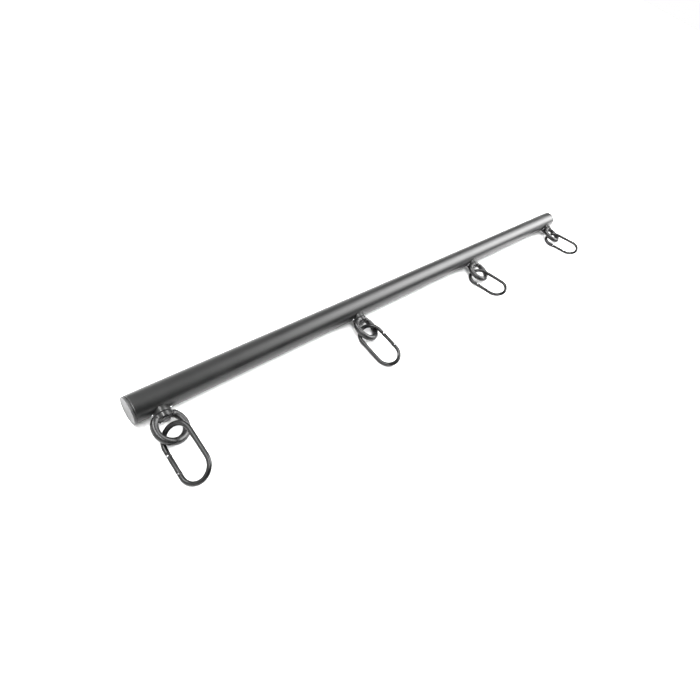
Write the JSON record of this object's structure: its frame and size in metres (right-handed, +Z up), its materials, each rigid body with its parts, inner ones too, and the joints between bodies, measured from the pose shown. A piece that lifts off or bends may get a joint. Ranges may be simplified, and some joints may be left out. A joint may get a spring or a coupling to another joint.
{
  "type": "spreader beam",
  "caption": "Round steel spreader bar with swivel ring eyes in line along one side and a spring-gate snap hook hanging in each ring.",
  "frame": {"origin": "on the underside of the tube, midway along its length, where the bar lies on a flat surface", "axes": "+X along the bar, +Z up, eyes and hooks towards -Y"},
  "size_m": [1, 0.1305, 0.0339],
  "materials": {
    "tube_coat": "satin black powder coat on steel tube",
    "cap_plastic": "smooth satin black plastic",
    "black_ring_steel": "satin black coated steel",
    "black_hook_steel": "glossy black coated steel",
    "bright_zinc": "bright zinc plating",
    "black_nylon": "plain black nylon",
    "spring_steel": "plain drawn spring steel"
  },
  "bodies": {
    "bar": {"tube": "tube_coat", "end_cap_near": "cap_plastic", "end_cap_far": "cap_plastic", "rivet_nut_1": "bright_zinc", "collar_1": "black_ring_steel", "glide_washer_1": "black_nylon", "swivel_bolt_1": "black_ring_steel", "rivet_nut_2": "bright_zinc", "collar_2": "black_ring_steel", "glide_washer_2": "black_nylon", "swivel_bolt_2": "black_ring_steel", "rivet_nut_3": "bright_zinc", "collar_3": "black_ring_steel", "glide_washer_3": "black_nylon", "swivel_bolt_3": "black_ring_steel", "rivet_nut_4": "bright_zinc", "collar_4": "black_ring_steel", "glide_washer_4": "black_nylon", "swivel_bolt_4": "black_ring_steel"},
    "eye_1": {"swivel_eye_1": "black_ring_steel"},
    "hook_1": {"hook_body_1": "black_hook_steel", "gate_rivet_1": "bright_zinc"},
    "gate_1": {"hook_gate_1": "black_hook_steel", "latch_pin_1": "bright_zinc", "gate_plunger_1": "spring_steel", "gate_spring_1": "spring_steel"},
    "eye_2": {"swivel_eye_2": "black_ring_steel"},
    "hook_2": {"hook_body_2": "black_hook_steel", "gate_rivet_2": "bright_zinc"},
    "gate_2": {"hook_gate_2": "black_hook_steel", "latch_pin_2": "bright_zinc", "gate_plunger_2": "spring_steel", "gate_spring_2": "spring_steel"},
    "eye_3": {"swivel_eye_3": "black_ring_steel"},
    "hook_3": {"hook_body_3": "black_hook_steel", "gate_rivet_3": "bright_zinc"},
    "gate_3": {"hook_gate_3": "black_hook_steel", "latch_pin_3": "bright_zinc", "gate_plunger_3": "spring_steel", "gate_spring_3": "spring_steel"},
    "eye_4": {"swivel_eye_4": "black_ring_steel"},
    "hook_4": {"hook_body_4": "black_hook_steel", "gate_rivet_4": "bright_zinc"},
    "gate_4": {"hook_gate_4": "black_hook_steel", "latch_pin_4": "bright_zinc", "gate_plunger_4": "spring_steel", "gate_spring_4": "spring_steel"}
  },
  "joints": [
    {"name": "eye_swivel_1", "type": "hinge", "parent": "bar", "child": "eye_1", "pos_m": [-0.47, -0.02426, 0.0129], "axis": [0, -0.9863, -0.165], "continuous": true},
    {"name": "hook_turn_1", "type": "hinge", "parent": "eye_1", "child": "hook_1", "pos_m": [-0.47, -0.03748, 0.01069], "axis": [0.2672, -0.159, 0.9504], "range_deg": [-30, 30]},
    {"name": "gate_open_1", "type": "hinge", "parent": "hook_1", "child": "gate_1", "pos_m": [-0.48679, -0.06413, 0.00314], "axis": [-0.6583, 0.023, 0.7524], "range_deg": [0, 30], "stiffness_Nm_per_rad": 0.1, "springref_deg": -17.19},
    {"name": "eye_swivel_2", "type": "hinge", "parent": "bar", "child": "eye_2", "pos_m": [-0.15667, -0.02426, 0.0129], "axis": [0, -0.9863, -0.165], "continuous": true},
    {"name": "hook_turn_2", "type": "hinge", "parent": "eye_2", "child": "hook_2", "pos_m": [-0.15667, -0.03748, 0.01069], "axis": [0.2672, -0.159, 0.9504], "range_deg": [-25, 30]},
    {"name": "gate_open_2", "type": "hinge", "parent": "hook_2", "child": "gate_2", "pos_m": [-0.1405, -0.06003, 0.01296], "axis": [0.2281, 0.0589, -0.9718], "range_deg": [0, 30], "stiffness_Nm_per_rad": 0.1, "springref_deg": -17.19},
    {"name": "eye_swivel_3", "type": "hinge", "parent": "bar", "child": "eye_3", "pos_m": [0.15667, -0.02426, 0.0129], "axis": [0, -0.9863, -0.165], "continuous": true},
    {"name": "hook_turn_3", "type": "hinge", "parent": "eye_3", "child": "hook_3", "pos_m": [0.15667, -0.03748, 0.01069], "axis": [0.0698, -0.1646, 0.9839], "range_deg": [0, 30]},
    {"name": "gate_open_3", "type": "hinge", "parent": "hook_3", "child": "gate_3", "pos_m": [0.1301, -0.05881, 0.00545], "axis": [-0.3285, 0.1634, 0.9303], "range_deg": [0, 30], "stiffness_Nm_per_rad": 0.1, "springref_deg": -17.19},
    {"name": "eye_swivel_4", "type": "hinge", "parent": "bar", "child": "eye_4", "pos_m": [0.47, -0.02426, 0.0129], "axis": [0, -0.9863, -0.165], "continuous": true},
    {"name": "hook_turn_4", "type": "hinge", "parent": "eye_4", "child": "hook_4", "pos_m": [0.47, -0.03748, 0.01069], "axis": [0.1219, -0.1638, 0.9789], "range_deg": [-15, 30]},
    {"name": "gate_open_4", "type": "hinge", "parent": "hook_4", "child": "gate_4", "pos_m": [0.44379, -0.06228, 0.00515], "axis": [-0.3563, 0.1379, 0.9242], "range_deg": [0, 30], "stiffness_Nm_per_rad": 0.1, "springref_deg": -17.19}
  ]
}
